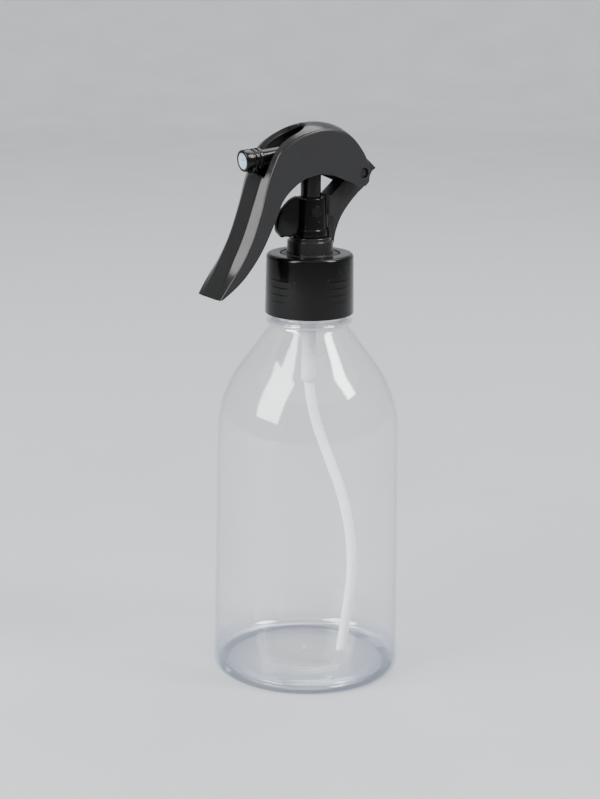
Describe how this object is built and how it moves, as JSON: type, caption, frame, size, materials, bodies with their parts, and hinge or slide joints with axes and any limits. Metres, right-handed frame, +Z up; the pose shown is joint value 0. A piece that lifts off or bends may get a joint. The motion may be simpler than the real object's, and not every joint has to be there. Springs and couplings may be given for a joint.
{
  "type": "spray bottle",
  "caption": "Clear round bottle with a black mini trigger sprayer: arched trigger, moving nozzle, screw closure, piston pump and curved dip tube.",
  "frame": {"origin": "centre of the foot ring, on the bottle's axis, on the surface it stands on", "axes": "+Z up along the bottle's axis, -X the way the nozzle sprays, Y across the trigger's width"},
  "size_m": [0.0664, 0.06, 0.176],
  "materials": {
    "clear_pet": "clear blown PET, glossy",
    "black_gloss": "smooth moulded polypropylene, glossy",
    "black_satin": "moulded polypropylene, satin",
    "black_trigger": "moulded polypropylene, satin sides and a glossier finger face",
    "soft_foam": "foamed polyethylene, matt",
    "pale_insert": "pale acetal, satin",
    "milky_pp": "natural polypropylene, milky and translucent",
    "white_pp": "white polypropylene, satin",
    "white_pe": "soft white polyethylene, waxy",
    "spring_steel": "drawn stainless wire",
    "ball_steel": "polished stainless ball",
    "milky_pe": "natural polyethylene tube, milky"
  },
  "bodies": {
    "bottle": {"bottle": "clear_pet"},
    "head": {"chassis": "black_satin", "neck_gasket": "soft_foam", "pump_housing": "milky_pp", "stem_bush": "white_pp", "spring_seat": "white_pp", "return_spring": "spring_steel", "dip_tube": "milky_pe"},
    "closure": {"closure": "black_gloss"},
    "trigger": {"trigger": "black_trigger"},
    "plunger": {"actuator": "black_gloss", "nozzle_cap": "black_gloss", "nozzle_insert": "pale_insert", "piston_stem": "white_pp", "piston": "white_pe", "piston_seat": "white_pp"},
    "lock_sleeve": {"lock_sleeve": "black_gloss"},
    "inlet_ball": {"inlet_ball": "ball_steel"}
  },
  "joints": [
    {"name": "head_lift", "type": "slide", "parent": "bottle", "child": "head", "axis": [0, 0, 1], "range_m": [0, 0.0048]},
    {"name": "closure_unscrew", "type": "hinge", "parent": "head", "child": "closure", "pos_m": [0, 0, 0.13], "axis": [0, 0, 1], "range_deg": [0, 540]},
    {"name": "trigger_pull", "type": "hinge", "parent": "head", "child": "trigger", "pos_m": [0.0149, 0, 0.1602], "axis": [0, -1, 0], "range_deg": [0, 16], "stiffness_Nm_per_rad": 0.12, "springref_deg": -20.05},
    {"name": "plunger_stroke", "type": "slide", "parent": "head", "child": "plunger", "axis": [0, 0, -1], "range_m": [0, 0.0046], "deforming": ["return_spring"]},
    {"name": "lock_turn", "type": "hinge", "parent": "head", "child": "lock_sleeve", "pos_m": [0, 0, 0.147], "axis": [0, 0, 1], "range_deg": [0, 90]},
    {"name": "ball_lift", "type": "slide", "parent": "head", "child": "inlet_ball", "axis": [0, 0, 1], "range_m": [0, 0.0008]}
  ],
  "couplings": [
    {"joint": "head_lift", "follows": "closure_unscrew", "m_per_rad": 0.00050532},
    {"joint": "plunger_stroke", "follows": "trigger_pull", "m_per_rad": 0.016413}
  ]
}
